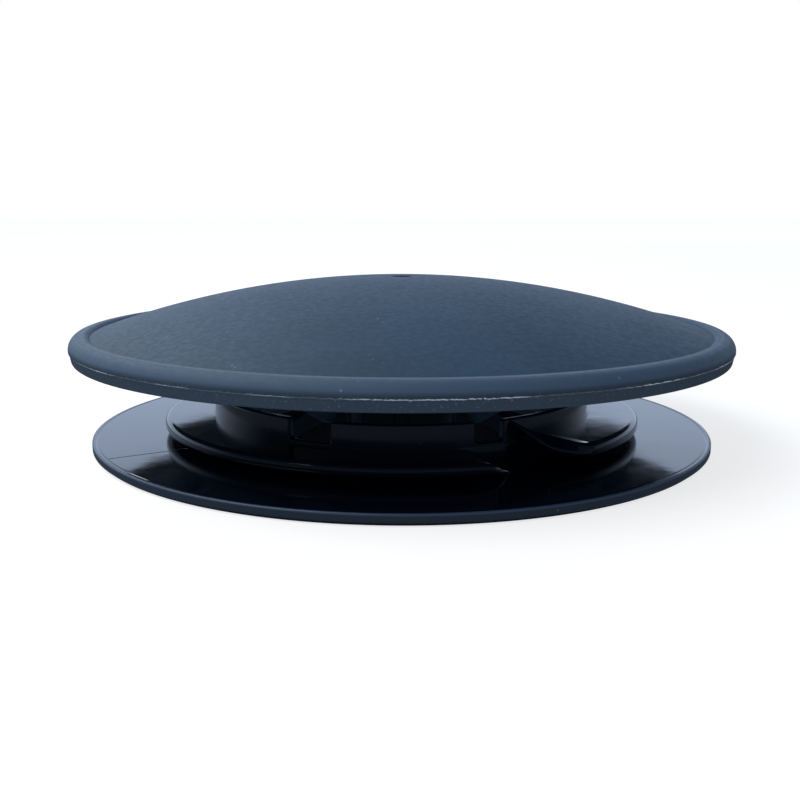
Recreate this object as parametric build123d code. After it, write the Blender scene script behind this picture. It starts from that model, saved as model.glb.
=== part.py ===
"""Boat cover vent: flanged base with a screw-in lip, domed cap, and the clamp that joins them.

Millimetres, +Z up, origin at the centre of the flange's underside. Azimuths are in degrees from
the front (-Y), growing towards +X.
"""
import math
import os

from build123d import *

os.makedirs("parts", exist_ok=True)

# Flange plate
PLATE_R = 108.5          # outer radius of the flange
PLATE_T = 3.6            # flange thickness at its edge
WEB_T = 2.4              # thickness of the flange between its rim and the throat
RIM_W = 4.6              # width of the downward rim that stiffens the flange's edge
UNDERCUT = 1.3           # how far the edge steps back below its band
GROOVE_R = 105.2         # radius of the fine groove round the top face
GROOVE_W = 0.7
GROOVE_D = 0.4
EDGE_R = 1.0             # rounding of the top edge
STIFFENERS = 16          # radial ribs below the flange
STIFFENER_W = 1.8

# Neck and its mouth
NECK_R = 66.9            # outer radius of the neck
NECK_WALL = 2.8
NECK_TOP = 17.4          # height of the neck's top edge
FOOT_W = 8.9             # reach of the flared foot over the flange
FOOT_H = 6.0             # height of the flare
NOTCH_FLOOR = 10.7       # height of the notch floors
NOTCH_ANGLE = 12.7       # width of a notch
NOTCHES = (              # azimuth where each notch in the mouth begins
    -31.3,
    73.5,
    121.0,
    168.5,
    216.0,
    263.5,
)
LIP_NOTCH = (19.4, 28.0)  # narrower notch beside the lip's leading end
MOUTH_CHAMFER = 1.2      # bevel inside the neck's top edge

# Screw-in lip round the neck
LIP_W = 17.3             # reach of the lip beyond the neck
SLOT_H = 2.0             # gap for the cover cloth between flange and lip
LIP_T = 4.0              # thickness of the lip
LIP_ROUND = 1.5          # rounding of the lip's upper outer edge
LIP_RISE = 0.65          # climb of the lip's top on its way to the leading end
LIP_START = 44.0         # azimuth where the leading end begins to climb
LIP_CONST = 150.0        # azimuth where the climb of the top begins
LIP_END = 373.5          # azimuth where the trailing end begins to dive

# Throat
LEDGE_W = 8.6            # width of the ledge that carries the spider
LEDGE_T = 5.0

# Spider
SPIDER_CLEAR = 0.25      # gap between the spider's ring and the neck
RING_T = 3.0
SPOKES = 4
SPOKE_W = 3.4
SPOKE_H = 6.0            # height of a spoke at the ring
HUB_R = 14.0
HUB_Z = 16.0             # underside of the hub
HUB_H = 13.0
HUB_FLOOR = 3.8          # hub wall that the bolt runs through
CLIP_WELL_R = 6.7        # well in the hub for the clip on the bolt
SCREW_INSET = 4.1        # distance from the neck's inner face to the spider screws
SCREW_SHANK = 1.8
SCREW_HEAD_R = 3.2
SCREW_HEAD_H = 2.0
SCREW_LEN = 7.0

# Cap
CAP_R = 114.3            # outer radius of the rolled rim
BEAD_A = 4.8             # distance from the bead's crown out to the cap's edge
BEAD_B = 4.3             # height of the bead's crown over its widest point
BEAD_CROWN = 2.6         # rounding of the bead's crown
BEAD_Z = 35.05           # height of the bead's widest point
PARTING_DROP = 0.4       # parting line below the bead's widest point
PARTING_STEP = 0.3       # how far the rim steps back below its parting line
SKIRT_H = 4.1            # foot of the rim's skirt below the bead's widest point
SKIRT_DRAFT = 0.5        # how far the skirt leans in towards its foot
SKIRT_ROUND = 1.0
VALLEY_H = 3.2           # groove between dome and bead, over the bead's widest point
DOME_RISE = 18.25        # height of the dome over the groove inside the bead
SHELL = 2.6              # wall of the dome
DIMPLE_R = 3.6           # shallow gate dimple at the top
DIMPLE_D = 0.7
FIN_ANGLE = 22.5         # azimuth of the first fin
FINS = 8
FIN_W = 3.4
FIN_INSET = 4.1          # a fin's lowest point, inside the neck's inner face
FIN_TIP_Z = 15.5
FIN_OUT = 5.0            # distance from the groove to a fin's outer end
FIN_CLIMB = 12.0         # run over which a fin's inner edge climbs to its inner run
FIN_INNER_Z = 38.0       # lower edge of the fins' inner run to the boss
BOSS_R = 12.0
DRIP_R = 90.0            # drip ring under the dome
DRIP_W = 1.6
DRIP_Z = 37.0

# Clamp
GASKET_T = 1.5
GASKET_IN = 8.6
BOLT_R = 5.0             # nominal 10 mm bolt
BOLT_CLEAR = 0.05        # running clearance round the bolt
THREAD_ENGAGED = 7.0     # bolt length inside the insert
INSERT_R = 7.5
INSERT_L = 10.0
HEAD_AF = 16.0           # hexagon of the bolt head, across flats
HEAD_H = 4.0
CLIP_R = 6.3
CLIP_T = 0.8
CLIP_GROOVE = 0.8        # depth of the groove that holds the clip
WASHER_R = 11.0
WASHER_T = 1.4
KNOB_R = 20.0
KNOB_BASE = 0.5          # underside of the knob
KNOB_WEB = 2.2           # knob wall between the bolt head and the washer
KNOB_LOBES = 10
LOBE_R = 3.4             # radius of the finger scallops
SOCKET_R = 11.3          # socket for the support pole

# Derived heights
LIP_BOTTOM = PLATE_T + SLOT_H
LIP_TOP = LIP_BOTTOM + LIP_T
NECK_IN = NECK_R - NECK_WALL
FOOT_R = NECK_R + FOOT_W
LIP_R = NECK_R + LIP_W
LEDGE_R = NECK_IN - LEDGE_W
RING_IN = LEDGE_R
SCREW_R = NECK_IN - SCREW_INSET
FIN_TIP_R = NECK_IN - FIN_INSET
FIN_ROOT_R = FIN_TIP_R - 2.0 - FIN_CLIMB
HUB_TOP = HUB_Z + HUB_H
BOSS_Z = HUB_TOP + GASKET_T
INSERT_Z = BOSS_Z + 1.0
BOLT_TIP = INSERT_Z + THREAD_ENGAGED
KNOB_TOP = HUB_Z - WASHER_T
HEAD_TOP = KNOB_TOP - KNOB_WEB
HEAD_Z = HEAD_TOP - HEAD_H
BEAD_R = CAP_R - BEAD_A
VALLEY_Z = BEAD_Z + VALLEY_H
CROWN_Z = BEAD_B - BEAD_CROWN
SKIRT_R = CAP_R - PARTING_STEP - SKIRT_DRAFT
SKIRT_Z = BEAD_Z - SKIRT_H
FLANK = (BEAD_CROWN ** 2 - BEAD_A ** 2 - CROWN_Z ** 2) / (2 * (BEAD_CROWN - BEAD_A))
VALLEY_R = BEAD_R - math.sqrt(BEAD_CROWN ** 2 - (VALLEY_Z - BEAD_Z - CROWN_Z) ** 2)
DOME_TOP = VALLEY_Z + DOME_RISE
SPHERE_R = (VALLEY_R ** 2 + DOME_RISE ** 2) / (2 * DOME_RISE)
SPHERE_Z = DOME_TOP - SPHERE_R


def single(shape):
    """The one solid of a result."""
    solids = shape.solids()
    return solids[0] if len(solids) == 1 else Compound(children=list(solids))


def join(body, *others):
    """Union of overlapping solids."""
    return single(body.fuse(*[solid for shape in others for solid in shape.solids()]))


def cut(body, *tools):
    """Body less its tools."""
    return single(body.cut(*[solid for shape in tools for solid in shape.solids()]))


def dome_z(r, inset=0.0):
    """Height of the dome's skin, or of the surface that lies inset below it, at a radius."""
    return SPHERE_Z + math.sqrt((SPHERE_R - inset) ** 2 - r ** 2)


def spin(*edges):
    """Turn a closed outline in the XZ plane once round the vertical axis."""
    return single(revolve(make_face(Wire(edges)), Axis.Z))


def xz(r, z):
    """Point of the XZ plane."""
    return Vector(r, 0, z)


def lines(*points):
    """Straight edges through points, given as radius and height."""
    return [Line(xz(*a), xz(*b)) for a, b in zip(points, points[1:])]


def tube(r_in, r_out, z_low, z_high):
    """Upright tube between two radii and two heights."""
    outline = lines((r_in, z_low), (r_out, z_low), (r_out, z_high), (r_in, z_high), (r_in, z_low))
    return spin(*outline)


def disc(r, z_low, z_high):
    """Upright round bar."""
    return single(Pos(0, 0, z_low) * Cylinder(r, z_high - z_low, align=(Align.CENTER, Align.CENTER, Align.MIN)))


def at(azimuth, shape):
    """Turn a shape built over the front (-Y) to an azimuth."""
    return Rot(0, 0, azimuth) * shape


def radial_plate(points, width):
    """Upright plate in the radial plane over the front, from an outline of radius and height."""
    face = make_face(Polyline(*[(0, -r, z) for r, z in points], close=True))
    return single(extrude(face, width / 2, dir=(1, 0, 0), both=True))


def flange():
    """Flange with its edge band, groove, stiffened underside and the ledge in the throat."""
    r = PLATE_R
    groove_out = GROOVE_R + GROOVE_W
    web_z = PLATE_T - WEB_T
    outline = lines(
        (NECK_IN, PLATE_T),
        (GROOVE_R, PLATE_T),
        (GROOVE_R + GROOVE_W / 2, PLATE_T - GROOVE_D),
        (groove_out, PLATE_T),
        (r - EDGE_R, PLATE_T),
    )
    bulge = EDGE_R * (1 - math.sqrt(0.5))
    outline.append(ThreePointArc(xz(r - EDGE_R, PLATE_T), xz(r - bulge, PLATE_T - bulge), xz(r, PLATE_T - EDGE_R)))
    rim_in = r - UNDERCUT - RIM_W
    outline += lines(
        (r, PLATE_T - EDGE_R),
        (r, 1.1),
        (r - UNDERCUT + 0.2, 0.8),
        (r - UNDERCUT, 0),
        (rim_in, 0),
        (rim_in - 0.4, web_z),
        (FOOT_R + 3.0, web_z),
        (FOOT_R + 2.6, 0),
        (LEDGE_R, 0),
        (LEDGE_R, LEDGE_T),
        (NECK_IN, LEDGE_T),
        (NECK_IN, PLATE_T),
    )
    return outline, rim_in, web_z


def base_outline():
    """Outline of the flange and the neck in one, without the lip."""
    outline, rim_in, web_z = flange()
    foot_top = PLATE_T + FOOT_H
    curve = 0.32
    bend = xz(NECK_R + (FOOT_R - NECK_R) * curve * 0.9, PLATE_T + FOOT_H * curve * 0.8)
    neck = [
        *lines(
            (NECK_IN, LEDGE_T),
            (NECK_IN, NECK_TOP - MOUTH_CHAMFER),
            (NECK_IN + MOUTH_CHAMFER, NECK_TOP),
            (NECK_R - 0.6, NECK_TOP),
        ),
        ThreePointArc(
            xz(NECK_R - 0.6, NECK_TOP),
            xz(NECK_R - 0.18, NECK_TOP - 0.18),
            xz(NECK_R, NECK_TOP - 0.6),
        ),
        *lines((NECK_R, NECK_TOP - 0.6), (NECK_R, foot_top)),
        ThreePointArc(xz(NECK_R, foot_top), bend, xz(FOOT_R, PLATE_T)),
        *lines((FOOT_R, PLATE_T), (GROOVE_R, PLATE_T)),
    ]
    return neck + outline[1:-1], rim_in, web_z


def lip_section(azimuth, r_low, r_high, z_low, z_high):
    """Cross-section of the lip at an azimuth: outer radius and height of its lower and upper edge."""
    c = min(LIP_ROUND, (z_high - z_low) * 0.3, (r_high - NECK_R) * 0.3 + 0.05)
    b = c * 0.6
    r_in = NECK_R - NECK_WALL / 2
    points = [
        (r_in, z_low),
        (r_low - b, z_low),
        (r_low - b * 0.3, z_low + b * 0.3),
        (r_low, z_low + b),
        (r_high, z_high - c),
        (r_high - c * 0.3, z_high - c * 0.3),
        (r_high - c, z_high),
        (r_in, z_high),
    ]
    a = math.radians(azimuth)
    return [Vector(r * math.sin(a), -r * math.cos(a), z) for r, z in points]


def lip_loft(sections):
    """Skin a run of the lip through its cross-sections."""
    return Solid.make_loft([Wire.make_polygon(lip_section(*s), close=True) for s in sections])


def lip():
    """One turn of lip: diving trailing end, level run, climbing run and blade-like leading end."""
    width = LIP_R - NECK_R
    level = Face(Wire.make_polygon(lip_section(LIP_CONST, LIP_R, LIP_R, LIP_BOTTOM, LIP_TOP), close=True))
    run = Solid.revolve(level, LIP_END - LIP_CONST, Axis.Z)
    drop = LIP_TOP - PLATE_T
    dive = (
        (0.0, 0.000, 1.000, 1.00),
        (3.0, 0.020, 0.945, 0.98),
        (5.5, 0.085, 0.780, 0.80),
        (7.7, 0.180, 0.540, 0.40),
        (9.9, 0.310, 0.270, -0.30),
        (12.0, 0.450, 0.050, -0.60),
    )
    trailing = lip_loft(
        [
            (LIP_END + turn, *[LIP_R - width * inward] * 2, PLATE_T + SLOT_H * low, PLATE_T + drop * top)
            for turn, inward, top, low in dive
        ]
    )
    sweep = LIP_CONST - LIP_START
    approach = lip_loft(
        [
            (LIP_CONST - sweep * f, LIP_R, LIP_R, LIP_BOTTOM, LIP_TOP + LIP_RISE * f * f)
            for f in [k / 12 for k in range(13)]
        ]
    )
    climb = NECK_TOP - 0.3 - (LIP_TOP + LIP_RISE)
    low_climb = NECK_TOP - 1.2 - LIP_BOTTOM
    blade = (
        (0.0, 0.000, 0.000, 0.000, 0.000),
        (2.5, 0.000, 0.090, 0.040, 0.100),
        (5.0, 0.000, 0.265, 0.105, 0.245),
        (7.5, 0.005, 0.485, 0.200, 0.395),
        (9.5, 0.040, 0.660, 0.305, 0.510),
        (11.2, 0.215, 0.790, 0.490, 0.655),
        (12.8, 0.560, 0.890, 0.775, 0.830),
        (14.2, 0.920, 0.970, 1.000, 1.000),
    )
    leading = lip_loft(
        [
            (
                LIP_START - turn,
                LIP_R - width * low_in,
                LIP_R - width * high_in,
                LIP_BOTTOM + low_climb * low,
                LIP_TOP + LIP_RISE + climb * high,
            )
            for turn, low_in, high_in, low, high in blade
        ]
    )
    return run, trailing, approach, leading


def notch(low, high):
    """Cutter for a notch in the neck's mouth between two azimuths."""
    corners = [
        (NECK_IN - 1, NOTCH_FLOOR),
        (NECK_R + 1, NOTCH_FLOOR),
        (NECK_R + 1, NECK_TOP + 1),
        (NECK_IN - 1, NECK_TOP + 1),
    ]
    section = Face(Wire.make_polygon([xz(*corner) for corner in corners], close=True))
    return Rot(0, 0, low - 90) * Solid.revolve(section, high - low, Axis.Z)


def base_flange():
    """Flange, neck and lip in one moulding."""
    outline, rim_in, web_z = base_outline()
    body = spin(*outline)
    stiffener = radial_plate(
        [(FOOT_R + 2.0, 0.4), (rim_in + 0.5, 0.4), (rim_in + 0.5, web_z + 0.5), (FOOT_R + 2.0, web_z + 0.5)],
        STIFFENER_W,
    )
    step = 360 / STIFFENERS
    body = join(body, *[at(step * (k + 0.5), stiffener) for k in range(STIFFENERS)])
    tools = [notch(low, low + NOTCH_ANGLE) for low in NOTCHES] + [notch(*LIP_NOTCH)]
    pilot = disc(SCREW_SHANK, LEDGE_T + RING_T - SCREW_LEN, LEDGE_T + 1)
    tools += [at(90 * k, Pos(0, -SCREW_R, 0) * pilot) for k in range(SPOKES)]
    return join(cut(body, *tools), *lip())


def hub_spider():
    """Ring on the ledge, spokes climbing to the hub, and the hub with its well."""
    ring_z = LEDGE_T
    ring = tube(RING_IN, NECK_IN - SPIDER_CLEAR, ring_z, ring_z + RING_T)
    hub = disc(HUB_R, HUB_Z, HUB_TOP)
    spoke = radial_plate(
        [
            (HUB_R - 1.5, HUB_Z + 0.8),
            (RING_IN + 1.0, ring_z),
            (RING_IN + 2.4, ring_z + RING_T),
            (RING_IN - 2.0, ring_z + SPOKE_H),
            (HUB_R - 1.5, HUB_TOP - 2.0),
        ],
        SPOKE_W,
    )
    step = 360 / SPOKES
    body = join(ring, hub, *[at(step * (k + 0.5), spoke) for k in range(SPOKES)])
    hole = disc(SCREW_SHANK, ring_z - 1, ring_z + RING_T + 1)
    return cut(
        body,
        disc(BOLT_R + BOLT_CLEAR, HUB_Z - 1, HUB_TOP + 1),
        disc(CLIP_WELL_R, HUB_Z + HUB_FLOOR, HUB_TOP + 1),
        *[at(step * k, Pos(0, -SCREW_R, 0) * hole) for k in range(SPOKES)],
    )


def spider_screws():
    """Pan-head screws that hold the spider's ring on the ledge."""
    top = LEDGE_T + RING_T
    crown = SCREW_HEAD_H * 0.55
    sphere = (SCREW_HEAD_R ** 2 + crown ** 2) / (2 * crown)
    half = SCREW_HEAD_R / 2
    head_top = top + SCREW_HEAD_H
    head = spin(
        *lines((0, top), (SCREW_HEAD_R, top), (SCREW_HEAD_R, head_top - crown)),
        ThreePointArc(
            xz(SCREW_HEAD_R, head_top - crown),
            xz(half, head_top - sphere + math.sqrt(sphere ** 2 - half ** 2)),
            xz(0, head_top),
        ),
        *lines((0, head_top), (0, top)),
    )
    screw = join(head, disc(SCREW_SHANK, top - SCREW_LEN, top + 0.5))
    recess = Pos(0, 0, head_top)
    screw = cut(screw, recess * Box(3.0, 0.8, 1.6), recess * Box(0.8, 3.0, 1.6))
    step = 360 / SPOKES
    return Compound(children=[at(step * k, Pos(0, -SCREW_R, 0) * screw) for k in range(SPOKES)])


def bead():
    """Outer surface of the rim, from the groove over the bead and down the skirt to its foot."""
    reach = FLANK - BEAD_CROWN
    joint_x = BEAD_CROWN * (FLANK - BEAD_A) / reach
    joint_z = FLANK * CROWN_Z / reach
    turn = math.atan2(joint_z - CROWN_Z, joint_x)
    valley = math.pi - math.asin((VALLEY_Z - BEAD_Z - CROWN_Z) / BEAD_CROWN)

    def crown(angle):
        """Point of the small arc at the bead's top."""
        return xz(BEAD_R + BEAD_CROWN * math.cos(angle), BEAD_Z + CROWN_Z + BEAD_CROWN * math.sin(angle))

    edge = xz(CAP_R - FLANK + math.sqrt(FLANK ** 2 - PARTING_DROP ** 2), BEAD_Z - PARTING_DROP)
    step = xz(CAP_R - PARTING_STEP, BEAD_Z - PARTING_DROP)
    low = xz(SKIRT_R, SKIRT_Z + SKIRT_ROUND)
    slant = SKIRT_ROUND * (1 - math.sqrt(0.5))
    return [
        ThreePointArc(crown(valley), crown((valley + turn) / 2), crown(turn)),
        ThreePointArc(crown(turn), xz(CAP_R, BEAD_Z), edge),
        Line(edge, step),
        Line(step, low),
        ThreePointArc(low, xz(SKIRT_R - slant, SKIRT_Z + slant), xz(SKIRT_R - SKIRT_ROUND, SKIRT_Z)),
    ]


def domed_cap():
    """Dome with its rolled rim, fins, drip ring, boss and the pocket of the insert."""
    inner_r = VALLEY_R - 3.5
    inner_z = dome_z(inner_r, SHELL)
    lip_in = CAP_R - SHELL
    dimple_z = DOME_TOP - DIMPLE_D
    dimple_rise = dome_z(DIMPLE_R) - dimple_z
    dimple_ball = (DIMPLE_R ** 2 + dimple_rise ** 2) / (2 * dimple_rise)
    half = DIMPLE_R / 2
    outline = [
        ThreePointArc(
            xz(0, dimple_z),
            xz(half, dimple_z + dimple_ball - math.sqrt(dimple_ball ** 2 - half ** 2)),
            xz(DIMPLE_R, dome_z(DIMPLE_R)),
        ),
        ThreePointArc(
            xz(DIMPLE_R, dome_z(DIMPLE_R)), xz(VALLEY_R * 0.55, dome_z(VALLEY_R * 0.55)), xz(VALLEY_R, VALLEY_Z)
        ),
        *bead(),
        *lines(
            (SKIRT_R - SKIRT_ROUND, SKIRT_Z),
            (lip_in, SKIRT_Z),
            (lip_in - 0.8, SKIRT_Z + 0.9),
            (lip_in - 1.2, BEAD_Z - 0.1),
            (lip_in - 2.4, BEAD_Z + 1.0),
            (inner_r, inner_z),
        ),
        ThreePointArc(
            xz(inner_r, inner_z),
            xz(inner_r * 0.5, dome_z(inner_r * 0.5, SHELL)),
            xz(0, DOME_TOP - SHELL),
        ),
        *lines((0, DOME_TOP - SHELL), (0, dimple_z)),
    ]
    body = spin(*outline)
    fin_out = VALLEY_R - FIN_OUT
    radii = [fin_out * f for f in (1.0, 0.8, 0.6, 0.4, 0.2)] + [BOSS_R - 2]
    top = [(r, dome_z(r, SHELL * 0.5)) for r in radii]
    fin = radial_plate(
        [
            (FIN_TIP_R, FIN_TIP_Z),
            (fin_out, BEAD_Z),
            *top,
            (BOSS_R - 2, FIN_INNER_Z),
            (FIN_ROOT_R, FIN_INNER_Z),
            (FIN_TIP_R - 2.0, FIN_TIP_Z),
        ],
        FIN_W,
    )
    step = 360 / FINS
    drip = tube(DRIP_R - DRIP_W / 2, DRIP_R + DRIP_W / 2, DRIP_Z, dome_z(DRIP_R, SHELL * 0.5))
    return join(body, *[at(FIN_ANGLE + step * k, fin) for k in range(FINS)], drip, boss())


def boss():
    """Boss under the dome, with its spigot, the pocket of the insert and the relief over it."""
    top = dome_z(BOSS_R, SHELL * 0.5)
    spigot_r = GASKET_IN - 0.2
    spigot_z = BOSS_Z - GASKET_T + 0.5
    pocket_z = INSERT_Z + INSERT_L
    relief_r = BOLT_R + 0.6
    return spin(
        *lines(
            (INSERT_R, spigot_z),
            (spigot_r, spigot_z),
            (spigot_r, BOSS_Z),
            (BOSS_R, BOSS_Z),
            (BOSS_R, top),
            (0, top),
            (0, pocket_z + 3),
            (relief_r, pocket_z + 3),
            (relief_r, pocket_z),
            (INSERT_R, pocket_z),
            (INSERT_R, spigot_z),
        )
    )


def thread_insert():
    """Flanged brass insert for the bolt."""
    top = INSERT_Z + INSERT_L
    rings = [INSERT_Z + INSERT_L * f for f in (0.2, 0.5, 0.8)]
    return cut(
        disc(INSERT_R, BOSS_Z, top),
        disc(BOLT_R + BOLT_CLEAR, BOSS_Z - 1, top + 1),
        *[tube(INSERT_R - 0.5, INSERT_R + 1, z - 0.5, z + 0.5) for z in rings],
    )


def hub_gasket():
    """Rubber ring on the boss, round its spigot."""
    return tube(GASKET_IN, BOSS_R, HUB_TOP, BOSS_Z)


def bolt_head():
    """Hexagon head of the bolt."""
    return single(extrude(Pos(0, 0, HEAD_Z) * RegularPolygon(HEAD_AF / 2, 6, major_radius=False), HEAD_H))


def clamp_bolt():
    """Bolt with a hexagon head and the groove of the clip."""
    chamfer = 0.7
    shank = spin(
        *lines(
            (0, HEAD_TOP - 0.5),
            (BOLT_R, HEAD_TOP - 0.5),
            (BOLT_R, BOLT_TIP - chamfer),
            (BOLT_R - chamfer, BOLT_TIP),
            (0, BOLT_TIP),
            (0, HEAD_TOP - 0.5),
        )
    )
    clip_z = clip_height()
    return cut(join(bolt_head(), shank), tube(BOLT_R - CLIP_GROOVE, BOLT_R + 1, clip_z, clip_z + CLIP_T))


def clip_height():
    """Underside of the clip on the tightened bolt."""
    return HUB_TOP - CLIP_T - 0.6


def bolt_clip():
    """Open ring that snaps into the bolt's groove."""
    z = clip_height()
    ring = tube(BOLT_R - CLIP_GROOVE, CLIP_R, z, z + CLIP_T)
    return cut(ring, Pos(0, -CLIP_R, z + CLIP_T / 2) * Box(3.4, 2 * CLIP_R, CLIP_T + 1))


def knob_washer():
    """Flat washer between the knob and the hub."""
    return tube(BOLT_R + 0.3, WASHER_R, KNOB_TOP, HUB_Z)


def hand_knob():
    """Scalloped knob with the bolt's pocket and the pole socket."""
    edge = 0.8
    body = spin(
        *lines(
            (0, KNOB_BASE),
            (KNOB_R - edge, KNOB_BASE),
            (KNOB_R, KNOB_BASE + edge),
            (KNOB_R, KNOB_TOP - edge),
            (KNOB_R - edge, KNOB_TOP),
            (0, KNOB_TOP),
            (0, KNOB_BASE),
        )
    )
    step = 360 / KNOB_LOBES
    scallop = Pos(0, -(KNOB_R + LOBE_R * 0.45), 0) * disc(LOBE_R, KNOB_BASE - 1, KNOB_TOP + 1)
    return cut(
        body,
        *[at(step * k, scallop) for k in range(KNOB_LOBES)],
        bolt_head(),
        disc(SOCKET_R, KNOB_BASE - 1, HEAD_Z),
        disc(BOLT_R, HEAD_TOP - 0.5, KNOB_TOP + 1),
    )


PARTS = {
    "base_flange": base_flange,
    "hub_spider": hub_spider,
    "spider_screws": spider_screws,
    "domed_cap": domed_cap,
    "thread_insert": thread_insert,
    "hub_gasket": hub_gasket,
    "clamp_bolt": clamp_bolt,
    "bolt_clip": bolt_clip,
    "knob_washer": knob_washer,
    "hand_knob": hand_knob,
}

for name, build in PARTS.items():
    export_step(build(), f"parts/{name}.step")
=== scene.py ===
import logging
from dataclasses import dataclass, field
from enum import Enum
from functools import cached_property
from typing import Optional, Sequence

import bpy
import numpy as np
from mathutils import Matrix, Vector


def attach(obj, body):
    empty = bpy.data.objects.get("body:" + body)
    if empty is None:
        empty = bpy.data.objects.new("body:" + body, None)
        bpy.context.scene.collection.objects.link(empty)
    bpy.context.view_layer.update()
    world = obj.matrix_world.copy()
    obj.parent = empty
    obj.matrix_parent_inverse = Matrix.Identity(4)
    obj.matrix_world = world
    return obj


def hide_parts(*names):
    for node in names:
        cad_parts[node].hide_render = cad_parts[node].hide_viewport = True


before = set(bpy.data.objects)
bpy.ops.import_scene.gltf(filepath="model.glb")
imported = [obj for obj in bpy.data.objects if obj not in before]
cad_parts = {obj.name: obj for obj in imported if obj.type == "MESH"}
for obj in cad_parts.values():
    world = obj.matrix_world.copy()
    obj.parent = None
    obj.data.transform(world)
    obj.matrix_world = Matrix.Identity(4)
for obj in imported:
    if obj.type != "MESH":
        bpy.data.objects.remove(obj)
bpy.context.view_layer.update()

MM = 0.001
SHARP = 34
Array = np.ndarray
log = logging.getLogger("boat_vent")


# Surfaces


@dataclass
class Surface:
    """Points in millimetres with four-sided and three-sided faces."""

    points: Array
    quads: Array
    triangles: Array = field(default_factory=lambda: np.zeros((0, 3), int))

    def outward(self) -> "Surface":
        """Turn the faces to point outwards.

        The volume is the sum, over all triangles, of the triple product of their corners over six. Where it
        comes out negative the faces point inwards, and their corners are put in reverse order.

        Returns:
            The surface itself.
        """
        split = np.vstack([self.quads[:, [0, 1, 2]], self.quads[:, [0, 2, 3]], self.triangles])
        a, b, c = (self.points[split[:, k]] for k in range(3))
        if np.einsum("ij,ij->", a, np.cross(b, c)) < 0:
            self.quads = self.quads[:, ::-1]
            self.triangles = self.triangles[:, ::-1]
        return self

    def turned(self, azimuth: float) -> "Surface":
        """Turn a copy about the upright axis.

        Args:
            azimuth: the angle in degrees.

        Returns:
            The copy.
        """
        a = np.radians(azimuth)
        spin = np.array([[np.cos(a), -np.sin(a), 0], [np.sin(a), np.cos(a), 0], [0, 0, 1]])
        return Surface(self.points @ spin.T, self.quads, self.triangles)


def gathered(surfaces: Sequence[Surface]) -> Surface:
    """Put several surfaces into one, with the corner numbers of each moved past those before it.

    Args:
        surfaces: the surfaces, in any order.

    Returns:
        One surface with all their points and faces.
    """
    start = np.cumsum([0] + [len(s.points) for s in surfaces[:-1]])
    return Surface(
        np.vstack([s.points for s in surfaces]),
        np.vstack([s.quads + n for s, n in zip(surfaces, start)]),
        np.vstack([s.triangles + n for s, n in zip(surfaces, start)]),
    )


def skin(rings: Array, closed: bool) -> Surface:
    """Skin a row of rings. Point (i, k) of the grid is joined to (i, k+1), (i+1, k+1) and (i+1, k).

    Args:
        rings: array (n, m, 3) of n closed rings with m points each, in mm.
        closed: True if the last ring meets the first, False if a fan to its middle closes each end.

    Returns:
        A closed surface that faces outwards.
    """
    n, m = rings.shape[:2]
    index = np.arange(n * m).reshape(n, m)
    first = index if closed else index[:-1]
    following = np.roll(index, -1, axis=0) if closed else index[1:]
    corners = [first, np.roll(first, -1, axis=1), np.roll(following, -1, axis=1), following]
    quads = np.stack(corners, axis=-1).reshape(-1, 4)
    points = rings.reshape(-1, 3)
    if closed:
        return Surface(points, quads).outward()
    low, high = index[0], index[-1]
    fans = [
        np.stack([np.full(m, n * m), np.roll(low, -1), low], axis=-1),
        np.stack([np.full(m, n * m + 1), high, np.roll(high, -1)], axis=-1),
    ]
    points = np.vstack([points, rings[[0, -1]].mean(axis=1)])
    return Surface(points, quads, np.vstack(fans)).outward()


def swung(radius: Array, height: Array, azimuth: Array) -> Array:
    """Points at azimuths in degrees from the front: x = r sin a, y = -r cos a, z = height."""
    a = np.radians(azimuth)
    return np.stack(np.broadcast_arrays(radius * np.sin(a), -radius * np.cos(a), height), axis=-1)


def rounded(corners: Array, steps: int = 5, support: float = 0.25) -> Array:
    """Round the corners of closed polygons.

    With unit vectors a and b from a corner to its two neighbours, and h half the angle between them, the
    round touches the sides radius / tan h from the corner, and its centre lies radius / sin h along the
    bisector. Its points swing about the centre from one touching point to the other.

    Args:
        corners: array (..., n, 3) of radius, height and rounding in mm.
        steps: number of straight steps in each round.
        support: distance in mm from a round to the extra point on the side next to it.

    Returns:
        Array (..., n, steps + 3, 2) with the points of each corner.
    """
    point, radius = corners[..., :2], np.maximum(corners[..., 2:], 1e-4)
    back, ahead = np.roll(point, 1, axis=-2) - point, np.roll(point, -1, axis=-2) - point
    long_back = np.linalg.norm(back, axis=-1, keepdims=True)
    long_ahead = np.linalg.norm(ahead, axis=-1, keepdims=True)
    a, b = back / long_back, ahead / long_ahead
    half = np.arccos(np.clip((a * b).sum(axis=-1, keepdims=True), -0.9999, 0.9999)) / 2
    reach = np.minimum(radius / np.tan(half), 0.45 * np.minimum(long_back, long_ahead))
    radius = reach * np.tan(half)
    bisector = (a + b) / np.maximum(np.linalg.norm(a + b, axis=-1, keepdims=True), 1e-9)
    centre = point + bisector * radius / np.sin(half)
    begin, end = point + a * reach - centre, point + b * reach - centre
    sweep = (np.pi - 2 * half)[..., None, :]
    t = np.linspace(0, 1, steps + 1)[:, None]
    swing = np.sin((1 - t) * sweep) * begin[..., None, :] + np.sin(t * sweep) * end[..., None, :]
    arc = centre[..., None, :] + swing / np.sin(sweep)
    before = point + a * (reach + np.minimum(support, 0.04 * long_back))
    after = point + b * (reach + np.minimum(support, 0.04 * long_ahead))
    return np.concatenate([before[..., None, :], arc, after[..., None, :]], axis=-2)


def outline(corners: Sequence[Sequence[float]], steps: int = 5) -> Array:
    """Closed profile (n, 2) through rounded corners, each given as radius, height and rounding."""
    return rounded(np.array(corners, float), steps).reshape(-1, 2)


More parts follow.
